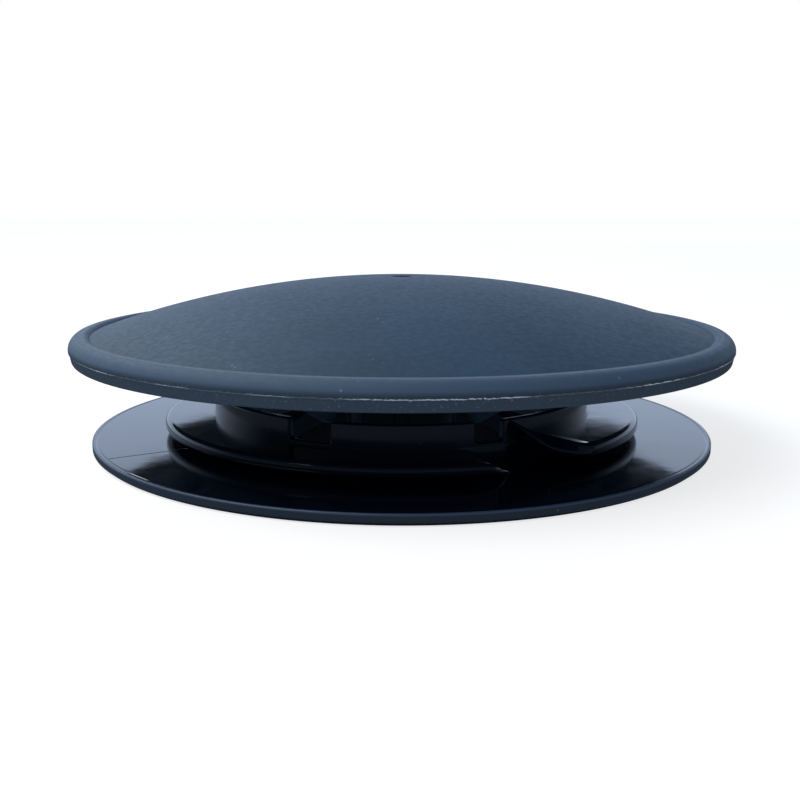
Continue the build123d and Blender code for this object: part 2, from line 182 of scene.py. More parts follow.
def corner_rows(corners: Sequence[Sequence[object]]) -> Array:
    """Corners as numbers or rows of numbers, stacked to one polygon (n, 3) for each place in the rows."""
    return np.stack([np.stack(np.broadcast_arrays(*corner), -1) for corner in corners], axis=1)


def arc_through(a: Sequence[float], m: Sequence[float], b: Sequence[float], count: int) -> Array:
    """Arc of a circle through three points.

    The centre is the point at equal distance from all three, and the arc's angle runs evenly from the
    first point to the last.

    Args:
        a: first point, radius and height.
        m: a point between.
        b: last point.
        count: number of points.

    Returns:
        Array (count, 2).
    """
    a, m, b = (np.asarray(p, float) for p in (a, m, b))
    centre = np.linalg.solve(2 * np.array([m - a, b - a]), np.array([m @ m - a @ a, b @ b - a @ a]))
    angles = np.unwrap([np.arctan2(*(p - centre)[::-1]) for p in (a, m, b)])
    angle = np.linspace(angles[0], angles[2], count)
    return centre + np.linalg.norm(a - centre) * np.stack([np.cos(angle), np.sin(angle)], axis=-1)


def lathe(profile: Array, segments: int = 240) -> Surface:
    """Closed profile of radius and height, turned once round the upright axis."""
    azimuth = np.arange(segments)[:, None] * 360 / segments
    return skin(swung(profile[None, :, 0], profile[None, :, 1], azimuth), closed=True)


def bearings(steps: Array) -> Array:
    """Directions of a closed path at its points, each halfway between the steps before and after the point.

    Args:
        steps: array (n, 2) with the step from each point to the next.

    Returns:
        Array (n, 2) of unit vectors.
    """
    unit = steps / np.linalg.norm(steps, axis=1, keepdims=True)
    both = unit + np.roll(unit, 1, axis=0)
    return both / np.linalg.norm(both, axis=1, keepdims=True)


def plates(
    corners: Sequence[Sequence[float]], width: float, azimuths: Sequence[float], edge: float
) -> Surface:
    """Upright plates in radial planes, with their two side edges rounded.

    The profile is carried across the plate's width. Over the last edge length on each side it is drawn in
    along its own normals by edge (1 - cos t), while the side moves out by edge sin t.

    Args:
        corners: profile corners as radius, height and rounding.
        width: thickness of the plate in mm.
        azimuths: where the plates stand.
        edge: rounding of the side edges in mm.

    Returns:
        All plates in one surface.
    """
    path = outline(corners, 3)
    ahead = np.roll(path, -1, axis=0) - path
    along = bearings(ahead)
    area = (path[:, 0] * ahead[:, 1] - path[:, 1] * ahead[:, 0]).sum()
    normal = np.sign(area) * np.stack([along[:, 1], -along[:, 0]], axis=-1)
    t = np.linspace(0, np.pi / 2, 4)
    side = width / 2 - edge + edge * np.sin(t)
    side = np.concatenate([-side[::-1], side])
    drawn_in = edge * (1 - np.cos(np.concatenate([t[::-1], t])))
    section = path[None] - normal[None] * drawn_in[:, None, None]
    x = np.broadcast_to(side[:, None], section.shape[:2])
    one = skin(np.stack([x, -section[..., 0], section[..., 1]], axis=-1), closed=False)
    return gathered([one.turned(a) for a in azimuths])


def wave(azimuth: Array, seed: int, low: int, high: int, count: int = 24) -> Array:
    """Smooth random line round the axis: a sum of cosines of whole-numbered frequency.

    Args:
        azimuth: angles in degrees.
        seed: seed of the random draws.
        low: lowest number of waves round the axis.
        high: number that the waves stay below.
        count: number of cosines.

    Returns:
        One value for each angle. The largest in size is 1 or -1.
    """
    rng = np.random.default_rng(seed)
    frequency = rng.integers(low, high, count)
    phase = rng.uniform(0, 2 * np.pi, count)
    total = np.cos(np.radians(azimuth)[..., None] * frequency + phase).sum(axis=-1)
    return total / np.abs(total).max()


# Materials

Colour = tuple[float, float, float]
Span = tuple[float, float]
Socket = bpy.types.NodeSocket
MIDDLE: Span = (0.3, 0.7)


class Sum(Enum):
    """Sums that a node does on one number or two."""

    PLUS = "ADD"
    LESS = "SUBTRACT"
    TIMES = "MULTIPLY"
    LARGER = "MAXIMUM"
    ROOT = "SQRT"
    SIZE = "ABSOLUTE"


class Ease(Enum):
    """How a ramp leaves its ends."""

    STRAIGHT = "LINEAR"
    SMOOTH = "SMOOTHSTEP"


@dataclass(frozen=True)
class Grain:
    """Noise pattern: features per metre, octaves, and the strength of each octave against the last."""

    scale: float
    detail: float = 3.0
    rough: float = 0.55


@dataclass(frozen=True)
class Relief:
    """Depth in metres that a bump's height of 1 stands for, and how strongly it shows."""

    depth: float
    strength: float


@dataclass(frozen=True)
class Specks:
    """Scattered specks: points per metre, how far they are moved, their size, and the clouds they keep to."""

    scale: float
    shift: float
    size: Span
    clouds: Grain
    cloudy: Span


def scaled(colour: Colour, factor: float) -> Colour:
    """Colour with each part times a factor."""
    return tuple(c * factor for c in colour)


class Wiring:
    """Node tree of a material or of the world, with short methods for the nodes that it needs."""

    def __init__(self, owner: bpy.types.ID, output: str) -> None:
        """Clear a tree and give it an output node.

        Args:
            owner: the material or world that holds the tree.
            output: kind of the output node.
        """
        owner.use_nodes = True
        self.tree = owner.node_tree
        self.tree.nodes.clear()
        self.surface = self.node(output).inputs["Surface"]

    def feed(self, target: Socket, value: object) -> None:
        """Link a socket, or set it.

        Args:
            target: input socket of a node.
            value: output socket of another node, a number, or a colour.
        """
        if isinstance(value, Socket):
            self.tree.links.new(value, target)
        elif isinstance(value, tuple) and target.type == "RGBA":
            target.default_value = (*value, 1.0)
        else:
            target.default_value = value

    def node(self, kind: str, inputs: Optional[dict] = None, **settings: str) -> bpy.types.Node:
        """Make a node.

        Args:
            kind: kind of node, without the prefix that all kinds share.
            inputs: what goes into its input sockets, by their names or numbers.
            settings: the node's own settings.

        Returns:
            The node.
        """
        node = self.tree.nodes.new(f"ShaderNode{kind}")
        for name, value in settings.items():
            setattr(node, name, value)
        for key, value in (inputs or {}).items():
            self.feed(node.inputs[key], value)
        return node

    def maths(self, how: Sum, result: object, *more: object) -> Socket:
        """Do a sum on one number, or on two or more in turn.

        Args:
            how: the sum.
            result: the first number or socket.
            more: those that follow it.

        Returns:
            Socket with the result.
        """
        for value in more or (0.0,):
            result = self.node("Math", {0: result, 1: value}, operation=how.value).outputs[0]
        return result

    def plus(self, *values: object) -> Socket:
        """Numbers added."""
        return self.maths(Sum.PLUS, *values)

    def times(self, *values: object) -> Socket:
        """Numbers multiplied."""
        return self.maths(Sum.TIMES, *values)

    def ramp(self, value: object, span: Span, ends: Span = (0.0, 1.0), ease: Ease = Ease.SMOOTH) -> Socket:
        """Value carried from the first end, where the span begins, to the second, where it stops."""
        limits = dict(zip(("From Min", "From Max", "To Min", "To Max"), (*span, *ends)))
        return self.node("MapRange", {"Value": value, **limits}, interpolation_type=ease.value).outputs[0]

    def mix(self, amount: object, a: object, b: object) -> Socket:
        """Blend of two colours."""
        return self.node("Mix", {0: amount, 6: a, 7: b}, data_type="RGBA").outputs[2]

    def show(self, amount: Socket, a: bpy.types.Node, b: bpy.types.Node) -> None:
        """Show shader a where the amount is 0, and b where it is 1."""
        shader = self.node("MixShader", {0: amount, 1: a.outputs[0], 2: b.outputs[0]})
        self.feed(self.surface, shader.outputs[0])

    def axes(self, place: Socket) -> tuple[Socket, ...]:
        """The parts x, y and z of a place or direction."""
        return tuple(self.node("SeparateXYZ", {0: place}).outputs)

    def seen(self) -> Socket:
        """1 for rays from the camera and for those that gloss or glass show, and 0 for all others."""
        rays = self.node("LightPath").outputs
        return self.maths(Sum.LARGER, *(rays[f"Is {a} Ray"] for a in ("Camera", "Glossy", "Transmission")))


class Sheet(Wiring):
    """Nodes of one of the object's finishes."""

    def __init__(self, name: str) -> None:
        """Start a material with a Principled shader and the piece's own coordinates.

        Args:
            name: the material's name.
        """
        self.material = bpy.data.materials.new(name)
        super().__init__(self.material, "OutputMaterial")
        self.shader = self.node("BsdfPrincipled")
        self.feed(self.surface, self.shader.outputs[0])
        self.coords = self.node("TexCoord").outputs["Object"]

    @cached_property
    def radius(self) -> Socket:
        """Distance from the upright axis in metres."""
        x, y, _ = self.axes(self.coords)
        return self.maths(Sum.ROOT, self.plus(self.times(x, x), self.times(y, y)))

    @cached_property
    def height(self) -> Socket:
        """Height in metres."""
        return self.axes(self.coords)[2]

    def band(self, length: Socket, span: Span, ends: Span = (0.0, 1.0)) -> Socket:
        """Ramp over a length in metres, with its span in mm."""
        return self.ramp(length, (span[0] * MM, span[1] * MM), ends)

    def noise(self, grain: Grain, place: Optional[Socket] = None) -> Socket:
        """Noise from 0 to 1, at the piece's own coordinates unless another place is given."""
        sizes = {"Scale": grain.scale, "Detail": grain.detail, "Roughness": grain.rough}
        return self.node("TexNoise", {"Vector": place or self.coords, **sizes}).outputs["Fac"]

    def specks(self, kind: Specks) -> Socket:
        """Mask of scattered specks: 1 near each of the scattered points, but only in clouds.

        Args:
            kind: their sizes.

        Returns:
            Socket with the mask.
        """
        shift = (kind.shift, kind.shift * 0.7, kind.shift * 1.3)
        moved = self.node("VectorMath", {0: self.coords, 1: shift}, operation="ADD").outputs[0]
        cells = self.node("TexVoronoi", {"Vector": moved, "Scale": kind.scale})
        clouds = self.ramp(self.noise(kind.clouds), kind.cloudy)
        return self.times(self.ramp(cells.outputs["Distance"], kind.size), clouds)

    def mottled(self, colour: Colour, clouds: Grain, factor: float) -> Socket:
        """Colour that drifts in clouds to itself times a factor."""
        return self.mix(self.ramp(self.noise(clouds), MIDDLE), colour, scaled(colour, factor))

    def bump(self, height: Socket, relief: Relief) -> None:
        """Roughen the surface by a height from 0 to 1."""
        node = self.node("Bump", {"Strength": relief.strength, "Distance": relief.depth, "Height": height})
        self.feed(self.shader.inputs["Normal"], node.outputs[0])

    def set(self, **values: object) -> None:
        """Set or link sockets of the shader, named with underscores for spaces."""
        for name, value in values.items():
            self.feed(self.shader.inputs[name.replace("_", " ")], value)


class Finish:
    """What a piece is made of.

    A pair of lengths in a finish is where a mask begins and ends, in mm, and so is a pair whose name ends in
    at, in values of a noise. A pair whose name ends in to or rough holds the values that the mask runs
    between.
    """

    def make(self, name: str) -> bpy.types.Material:
        """Build the material.

        Args:
            name: the material's name.

        Returns:
            The material.
        """
        sheet = Sheet(name)
        self.paint(sheet)
        return sheet.material

    def paint(self, s: Sheet) -> None:
        """Put the finish's own nodes on a sheet."""
        raise NotImplementedError


@dataclass(frozen=True)
class GrainedShell(Finish):
    """Matte moulded plastic of the cap: fine grain, pale dust in it and a scuffed parting line."""

    colour: Colour = (0.012, 0.037, 0.069)
    # painted sheen: the rim's colour is paler than the dome's, standing in for the sheen of its smoother face
    rim_sheen_colour: Colour = (0.043, 0.077, 0.127)
    painted_highlight_colour: Colour = (0.075, 0.105, 0.140)
    pit_shade_colour: Colour = (0.002, 0.004, 0.008)
    dust: Colour = (0.26, 0.30, 0.36)
    pit_r: Span = (4.0, 3.1)
    smooth_r: Span = (107.0, 108.2)
    crown_in: Span = (109.0, 109.4)
    crown_out: Span = (110.6, 110.2)
    outer_r: Span = (112.0, 113.0)
    flank_z: Span = (36.8, 35.1)
    scuff_z: Span = (36.2, 35.0)
    skirt_z: Span = (34.6, 34.4)
    parting_z: float = 34.6
    line_half: Span = (0.19, 0.08)
    ragged_by: float = 0.9
    cloud_shade: float = 1.25
    flank_shade: float = 0.45
    line_shade: float = 1.5
    skirt_to: Span = (0.0, 0.85)
    broken_at: Span = (0.32, 0.46)
    faded_at: Span = (0.40, 0.60)
    faded_to: Span = (0.12, 1.0)
    scuffed_at: Span = (0.60, 0.74)
    scuffed_to: Span = (0.0, 0.22)
    speck_share: float = 0.35
    pit_share: float = 0.85
    fine_share: float = 0.75
    rough: Span = (0.52, 0.62)
    rim_rough: float = 0.04
    pit_rough: float = 0.3
    relief: Relief = Relief(0.00012, 0.42)
    clouds: Grain = Grain(28.0, 4.0)
    fine: Grain = Grain(1500.0, 3.0, 0.6)
    coarse: Grain = Grain(520.0, 2.0, 0.5)
    ragged: Grain = Grain(700.0, 3.0, 0.7)
    broken: Grain = Grain(420.0, 4.0, 0.75)
    faded: Grain = Grain(30.0, 2.0)
    scuffs: Grain = Grain(1300.0, 2.0, 0.7)
    specks: Specks = Specks(330.0, 3.1, (0.16, 0.08), Grain(90.0, 2.0), (0.56, 0.70))

    def rim(self, s: Sheet) -> Socket:
        """Colour of the rim: paler than the dome as painted sheen, with painted shade on its flank and skirt
        and a painted highlight on its crown.

        Args:
            s: the cap's sheet.

        Returns:
            Socket with the colour.
        """
        # painted shade: the flank and the skirt below it, which face down, are darkened
        flank = s.times(s.band(s.height, self.flank_z), s.band(s.height, self.skirt_z[::-1]))
        shade = s.maths(Sum.LARGER, flank, s.band(s.height, self.skirt_z, self.skirt_to))
        rim = s.mix(shade, self.rim_sheen_colour, scaled(self.rim_sheen_colour, self.flank_shade))
        # painted highlight: a thin pale ring on the inner edge of the crown
        crown = s.times(s.band(s.radius, self.crown_in), s.band(s.radius, self.crown_out))
        return s.mix(crown, rim, self.painted_highlight_colour)

    def parting_line(self, s: Sheet) -> Socket:
        """Mask of the parting line, which is ragged, broken and faded in places.

        Args:
            s: the cap's sheet.

        Returns:
            Socket with the mask.
        """
        ragged = s.times(s.maths(Sum.LESS, s.noise(self.ragged), 0.5), self.ragged_by * MM)
        off_line = s.maths(Sum.LESS, s.plus(s.height, ragged), self.parting_z * MM)
        return s.times(
            s.band(s.maths(Sum.SIZE, off_line), self.line_half),
            s.band(s.radius, self.outer_r),
            s.ramp(s.noise(self.broken), self.broken_at),
            s.ramp(s.noise(self.faded), self.faded_at, self.faded_to),
        )

    def paint(self, s: Sheet) -> None:
        """Grain and dust over the dome, a smooth scuffed rim with painted sheen, shade and highlight, and
        painted shade in the pit at the top.

        Args:
            s: the sheet.
        """
        smooth, pit = s.band(s.radius, self.smooth_r), s.band(s.radius, self.pit_r)
        # the rim zone takes the rim's colours, which hold painted sheen, painted shade and a painted
        # highlight
        base = s.mix(smooth, s.mottled(self.colour, self.clouds, self.cloud_shade), self.rim(s))
        base = s.mix(s.times(s.specks(self.specks), self.speck_share), base, self.dust)
        base = s.mix(self.parting_line(s), base, scaled(self.dust, self.line_shade))
        scuffs = s.ramp(s.noise(self.scuffs), self.scuffed_at, self.scuffed_to)
        base = s.mix(s.times(smooth, scuffs, s.band(s.height, self.scuff_z)), base, self.dust)
        # painted shade: the pit at the top is darkened
        base = s.mix(s.times(pit, self.pit_share), base, self.pit_shade_colour)
        coarse = s.noise(self.coarse)
        rough = s.plus(
            s.ramp(coarse, MIDDLE, self.rough),
            s.times(smooth, self.rim_rough),
            s.times(pit, self.pit_rough),
        )
        grain = s.plus(s.times(s.noise(self.fine), self.fine_share), s.times(coarse, 1 - self.fine_share))
        s.set(Base_Color=base, Roughness=rough, IOR=1.5, Specular_IOR_Level=0.24)
        s.bump(grain, self.relief)


@dataclass(frozen=True)
class GlossMoulding(Finish):
    """Polished black moulding of the base, with faint flow marks and a little dust."""

    colour: Colour = (0.0015, 0.0030, 0.0075)
    edge_colour: Colour = (0.008, 0.018, 0.034)
    painted_highlight_colour: Colour = (0.026, 0.048, 0.088)
    dust: Colour = (0.16, 0.18, 0.22)
    edge_r: Span = (108.15, 108.45)
    edge_z: Span = (0.9, 1.4)
    corner_r: Span = (107.7, 108.0)
    corner_z: Span = (2.9, 3.1)
    neck_r: Span = (67.6, 67.0)
    neck_z: Span = (4.0, 15.0)
    cloud_shade: float = 1.3
    speck_share: float = 0.5
    smeared_at: Span = (0.35, 0.75)
    rough: Span = (0.07, 0.15)
    neck_rough: Span = (0.0, 0.10)
    speck_rough: float = 0.4
    worn_rough: float = 0.3
    relief: Relief = Relief(0.00004, 0.35)
    clouds: Grain = Grain(14.0, 4.0)
    smears: Grain = Grain(45.0, 5.0, 0.65)
    ripple: Grain = Grain(220.0, 2.0)
    specks: Specks = Specks(260.0, 1.7, (0.085, 0.045), Grain(60.0, 2.0), (0.52, 0.64))

    def paint(self, s: Sheet) -> None:
        """Black with a paler, rougher edge face that fades to painted shade at its foot, a painted highlight
        along the rougher top corner, and a neck that is a little less polished.

        Args:
            s: the sheet.
        """
        # painted shade: the paler edge face fades back to black over its lowest part, towards the floor
        edge = s.times(s.band(s.radius, self.edge_r), s.band(s.height, self.edge_z))
        # painted highlight: a pale line along the top corner of the edge, which is also rougher
        worn_highlit_corner = s.times(s.band(s.radius, self.corner_r), s.band(s.height, self.corner_z))
        specks = s.specks(self.specks)
        base = s.mix(edge, s.mottled(self.colour, self.clouds, self.cloud_shade), self.edge_colour)
        base = s.mix(worn_highlit_corner, base, self.painted_highlight_colour)
        base = s.mix(s.times(specks, self.speck_share), base, self.dust)
        rough = s.plus(
            s.ramp(s.noise(self.smears), self.smeared_at, self.rough),
            s.times(specks, self.speck_rough),
            s.times(s.maths(Sum.LARGER, edge, worn_highlit_corner), self.worn_rough),
            s.times(s.band(s.radius, self.neck_r), s.band(s.height, self.neck_z, self.neck_rough)),
        )
        s.set(Base_Color=base, Roughness=rough, IOR=1.52, Specular_IOR_Level=0.5)
        s.bump(s.noise(self.ripple), self.relief)


@dataclass(frozen=True)
class SatinPlastic(Finish):
    """Fine-grained dark plastic."""

    colour: Colour
    grain: float = 1400.0
    roughness: float = 0.42
    smoother: float = 0.05
    rougher: float = 0.08
    cloud_shade: float = 1.4
    clouds: Grain = Grain(60.0, 4.0)
    sheen: Grain = Grain(300.0)
    relief: Relief = Relief(0.00006, 0.5)

    def paint(self, s: Sheet) -> None:
        """Clouded colour and gloss over a fine grain.

        Args:
            s: the sheet.
        """
        ends = self.roughness - self.smoother, self.roughness + self.rougher
        base = s.mottled(self.colour, self.clouds, self.cloud_shade)
        s.set(Base_Color=base, Roughness=s.ramp(s.noise(self.sheen), MIDDLE, ends), IOR=1.5)
        s.bump(s.noise(Grain(self.grain, 3.0, 0.6)), self.relief)


@dataclass(frozen=True)
class TurnedMetal(Finish):
    """Metal with turning marks round the upright axis."""

    colour: Colour
    roughness: float = 0.28
    smoother: float = 0.06
    rougher: float = 0.1
    mark_shade: float = 0.8
    marked_to: Span = (0.0, 0.25)
    stain_shade: float = 0.72
    stained_at: Span = (0.35, 0.75)
    stained_to: Span = (0.0, 0.5)
    marks: Grain = Grain(5200.0, 3.0, 0.6)
    stains: Grain = Grain(240.0, 4.0)
    relief: Relief = Relief(0.00003, 0.6)

    def paint(self, s: Sheet) -> None:
        """Marks of a noise that changes with radius and height, but not round the axis, and a few stains.

        Args:
            s: the sheet.
        """
        place = s.node("CombineXYZ", {0: s.radius, 1: s.height}).outputs[0]
        marks = s.noise(self.marks, place)
        stains = s.ramp(s.noise(self.stains), self.stained_at, self.stained_to)
        base = s.mix(stains, self.colour, scaled(self.colour, self.stain_shade))
        base = s.mix(s.ramp(marks, MIDDLE, self.marked_to), base, scaled(self.colour, self.mark_shade))
        ends = self.roughness - self.smoother, self.roughness + self.rougher
        s.set(Base_Color=base, Roughness=s.ramp(marks, MIDDLE, ends), Metallic=1.0)
        s.bump(marks, self.relief)


@dataclass(frozen=True)
class Rubber(Finish):
    """Matte black rubber with a little bloom."""

    colour: Colour = (0.016, 0.016, 0.017)
    bloom: Colour = (0.055, 0.056, 0.058)
    clouded_at: Span = (0.4, 0.75)
    clouded_to: Span = (0.0, 0.35)
    rough: Span = (0.62, 0.78)
    clouds: Grain = Grain(180.0, 4.0)
    patches: Grain = Grain(700.0)
    pits: Grain = Grain(2400.0, 2.0)
    relief: Relief = Relief(0.00005, 0.6)

    def paint(self, s: Sheet) -> None:
        """Bloom in clouds over a dull, pitted surface.

        Args:
            s: the sheet.
        """
        clouds = s.ramp(s.noise(self.clouds), self.clouded_at, self.clouded_to)
        rough = s.ramp(s.noise(self.patches), MIDDLE, self.rough)
        s.set(Base_Color=s.mix(clouds, self.colour, self.bloom), Roughness=rough, IOR=1.5)
        s.bump(s.noise(self.pits), self.relief)


@dataclass(frozen=True)
class FloorPaint:
    """Pale floor that is nearly white in itself and takes the object's shadow in the rest. Lengths in metres.

    It doesn't glow under the object, it glows more with distance, and gloss mirrors only a part of it.
    """

    matte: Colour = (0.34, 0.34, 0.34)
    dusk: Colour = (0.05, 0.08, 0.13)
    open_r: Span = (0.090, 0.106)
    far_r: Span = (0.4, 2.2)
    glow: Span = (0.74, 0.87)
    unseen_glow: float = 0.9
    behind_y: Span = (0.15, 0.9)
    dimmed: Span = (0.94, 0.55)

    def make(self, name: str) -> bpy.types.Material:
        """Build the material.

        Args:
            name: the material's name.

        Returns:
            The material.
        """
        material = bpy.data.materials.new(name)
        w = Wiring(material, "OutputMaterial")
        place = w.node("TexCoord").outputs["Object"]
        radius = w.node("VectorMath", {0: place}, operation="LENGTH").outputs["Value"]
        glow = w.times(
            w.maths(Sum.LARGER, w.seen(), self.unseen_glow),
            w.ramp(radius, self.open_r),
            w.ramp(radius, self.far_r, self.glow, Ease.STRAIGHT),
        )
        paint, light = w.node("BsdfDiffuse", {"Color": self.matte}), w.node("Emission", {"Strength": glow})
        both = w.node("AddShader", {0: paint.outputs[0], 1: light.outputs[0]})
        dimmed = w.ramp(w.axes(place)[1], self.behind_y, self.dimmed, Ease.STRAIGHT)
        mirrored = w.times(w.node("LightPath").outputs["Is Glossy Ray"], dimmed)
        w.show(mirrored, both, w.node("Emission", {"Color": self.dusk}))
        return material


@dataclass(frozen=True)
class Daylight:
    """White for the camera, a soft daylight grey that lights the object, and a haze that its gloss shows.

    The haze is bright behind the object and at its sides, and goes dark towards the front. With x, y and z of
    the direction looked in, it changes over y + x side_lean + z rise_lean.
    """

    sky: Colour = (0.58, 0.70, 0.84)
    strength: float = 0.55
    haze: Colour = (0.81, 0.99, 1.33)
    dusk: Colour = (0.05, 0.08, 0.13)
    white: Colour = (1.0, 1.0, 1.0)
    side_lean: float = -0.13
    rise_lean: float = -0.55
    change: Span = (-0.20, 0.85)

    def make(self, name: str) -> bpy.types.World:
        """Build the world.

        Args:
            name: the world's name.

        Returns:
            The world.
        """
        world = bpy.data.worlds.new(name)
        w = Wiring(world, "OutputWorld")
        x, y, z = w.axes(w.node("TexCoord").outputs["Generated"])
        reach = w.plus(w.times(x, self.side_lean), y, w.times(z, self.rise_lean))
        haze = w.mix(w.ramp(reach, self.change), self.dusk, self.haze)
        backdrop = w.mix(w.node("LightPath").outputs["Is Camera Ray"], haze, self.white)
        light = w.node("Background", {"Color": self.sky, "Strength": self.strength})
        w.show(w.seen(), light, w.node("Background", {"Color": backdrop}))
        return world


# Pieces


class Body(Enum):
    """Bodies that new pieces ride on."""

    BASE = "base"
    CAP = "cap"


def add_piece(name: str, surface: Surface, material: bpy.types.Material, body: Body) -> bpy.types.Object:
    """Make an object from a surface and let it ride on a body.

    Args:
        name: the piece's name.
        surface: its shape in mm.
        material: its finish.
        body: the body that it moves with.

    Returns:
        The new object.
    """
    mesh = bpy.data.meshes.new(name)
    faces = [*surface.quads.tolist(), *surface.triangles.tolist()]
    mesh.from_pydata((surface.points * MM).tolist(), [], faces)
    mesh.polygons.foreach_set("use_smooth", np.ones(len(faces), bool))
    mesh.update()
    mesh.set_sharp_from_angle(angle=np.radians(SHARP))
    mesh.materials.append(material)
    piece = bpy.data.objects.new(name, mesh)
    bpy.context.collection.objects.link(piece)
    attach(piece, body.value)
    log.info("%s: %d points, %d faces", name, len(surface.points), len(faces))
    return piece


@dataclass
class Base:
    """Flange, neck and screw-in lip: one glossy moulding. Sizes in mm, angles in degrees."""

    plate_r: float = 108.5
    plate_t: float = 3.6
    web_t: float = 2.4
    rim_w: float = 4.6
    undercut: float = 1.3
    groove_r: float = 106.6
    groove_w: float = 0.7
    groove_d: float = 0.2
    edge_r: float = 1.0
    edge_foot: float = 1.1
    undercut_z: float = 0.8
    stiffeners: int = 16
    stiffener_w: float = 1.8
    stiffener_z: float = 0.4
    stiffener_gap: float = 2.0
    overlap: float = 0.5
    neck_r: float = 66.9
    neck_wall: float = 2.8
    neck_top: float = 17.4
    mouth_out: float = 0.55
    mouth_in: float = 0.45
    mouth_swell: float = 0.5
    foot_r: float = 75.8
    foot_h: float = 6.0
    foot_sag: tuple[float, float] = (0.288, 0.256)
    notch_floor: float = 10.7
    notch_angle: float = 12.7
    notch_draft: float = 0.12
    notch_round: float = 0.9
    mouth_round: float = 0.8
    notches: tuple[float, ...] = (-31.3, 73.5, 121.0, 168.5, 216.0, 263.5)
    lip_notch: tuple[float, float] = (19.4, 28.0)
    lip_r: float = 84.2
    slot_h: float = 2.0
    lip_t: float = 4.0
    lip_rise: float = 0.65
    lip_nose: float = 2.1
    lip_nose_share: float = 0.52
    lip_step: float = 0.4
    lip_ease: int = 7
    lip_start: float = 44.0
    lip_const: float = 150.0
    lip_end: float = 373.5
    ledge_r: float = 55.5
    ledge_t: float = 5.0
    witness: float = -59.0
    witness_w: float = 0.32
    witness_h: float = 0.07
    witness_gap: float = 5.0
    witness_sunk: float = 0.3

    @property
    def neck_in(self) -> float:
        """Inner radius of the neck."""
        return self.neck_r - self.neck_wall

    def crown(self) -> tuple[Array, Array, Array]:
        """Line of the mouth's edge with its notches, rolled out flat as length round the neck and height.

        Its corners are rounded, and further points stand every 1.2 degrees where they stay clear of those.
        The normal is a quarter turn from the line's direction.

        Returns:
            Length round the neck, height, and the unit normals that point out of the wall.
        """
        scale = np.radians(1) * self.neck_r
        sides = [(a, a + self.notch_angle) for a in self.notches] + [self.lip_notch]
        low, high = np.array(sorted(sides)).T * scale
        top, floor, draft = self.neck_top, self.notch_floor, self.notch_draft
        foot = [(low + draft, floor, self.notch_round), (high - draft, floor, self.notch_round)]
        lines = [(low, top, self.mouth_round), *foot, (high, top, self.mouth_round)]
        corners = corner_rows(lines).reshape(-1, 3)
        turn = 360 * scale
        padded = np.vstack([corners[-1:] - [turn, 0, 0], corners, corners[:1] + [turn, 0, 0]])
        path = rounded(padded, 6, 0.3)[1:-1].reshape(-1, 2)
        step, clear = 1.2, 0.35
        more = path[0, 0] + np.arange(1, round(360 / step)) * step * scale
        more = more[np.abs(more[:, None] - path[None, :, 0]).min(axis=1) > clear * scale]
        wrapped = np.append(path[:, 0], path[0, 0] + turn), np.append(path[:, 1], path[0, 1])
        path = np.vstack([path, np.stack([more, np.interp(more, *wrapped)], -1)])
        path = path[np.argsort(path[:, 0], kind="stable")]
        ahead = np.roll(path, -1, axis=0) - path
        ahead[-1, 0] += turn
        along = bearings(ahead)
        return path[:, 0], path[:, 1], np.stack([-along[:, 1], along[:, 0]], -1)

    def moulding(self) -> Surface:
        """Neck and flange as one closed surface.

        Each column stands at one point of the mouth's line. Its rows go over the wall's edge, where they lie
        radius (1 - cos t) from the wall's face and radius (1 - sin t) in from the mouth's line, then down the
        outside, over the flange, back under it and up the inside.

        Returns:
            The surface.
        """
        length, height, normal = self.crown()
        scale = np.radians(1) * self.neck_r
        t = np.linspace(0, np.pi / 2, 6)
        near, sunk = 1 - np.cos(t), 1 - np.sin(t)
        swell = np.clip(normal[:, 1], 0, 1) ** 6 * (height > self.neck_top - 1)
        outer = np.full((len(length), 1), self.mouth_out)
        inner = self.mouth_in + self.mouth_swell * swell[:, None]
        radius = np.hstack([self.neck_r - outer * near, self.neck_in + inner * near[::-1]])
        inward = np.hstack([outer * sunk, inner * sunk[::-1]])

        def placed(depth: Array, r: Array, z: Array) -> Array:
            """Points at a depth in from the mouth's line, along its normal."""
            return swung(r, z, (length[:, None] - normal[:, :1] * depth) / scale)

        edge = placed(inward, radius, height[:, None] - normal[:, 1:] * inward)
        outside, inside = (path.T[:, None, :] for path in self.below())
        rows = [edge[:, ::-1], placed(outer, *outside), placed(inner, *inside)]
        return skin(np.concatenate(rows, axis=1), closed=True)

    def below(self) -> tuple[Array, Array]:
        """Profile from the neck's outer face down over and under the flange, and then up the inner face.

        Returns:
            Radii and heights of all points but those of the inner face, and of the inner face's points.
        """
        low = self.plate_t + self.foot_h
        across, down = self.foot_sag
        bend = (self.neck_r + (self.foot_r - self.neck_r) * across, self.plate_t + self.foot_h * down)
        flare = arc_through((self.neck_r, low), bend, (self.foot_r, self.plate_t), 14)
        r, top = self.plate_r, self.plate_t
        rim_in, web_z = r - self.undercut - self.rim_w, self.plate_t - self.web_t
        corners = np.array(
            [
                (self.neck_r, low, 0.1),
                (self.foot_r, top, 0.1),
                (self.groove_r, top, 0.2),
                (self.groove_r + self.groove_w / 2, top - self.groove_d, 0.12),
                (self.groove_r + self.groove_w, top, 0.2),
                (r, top, self.edge_r),
                (r, self.edge_foot, 0.25),
                (r - self.undercut + 0.2, self.undercut_z, 0.1),
                (r - self.undercut, 0, 0.25),
                (rim_in, 0, 0.3),
                (rim_in - 0.4, web_z, 0.5),
                (self.foot_r + 3.0, web_z, 0.5),
                (self.foot_r + 2.6, 0, 0.3),
                (self.ledge_r, 0, 0.5),
                (self.ledge_r, self.ledge_t, 0.4),
                (self.neck_in, self.ledge_t, 0.3),
                (self.neck_in, low, 0.1),
            ]
        )
        rounds = rounded(corners, 4, 0.3)[2:-1].reshape(-1, 2)
        rings = np.linspace(self.foot_r + 0.4, self.groove_r - 1.2, 7)
        flat = np.stack([rings, np.full(7, top)], -1)
        path = np.vstack([[(self.neck_r, low + 0.25)], flare, flat, rounds, [(self.neck_in, low)]])
        inner_points = 12
        return path[:-inner_points], path[-inner_points:]

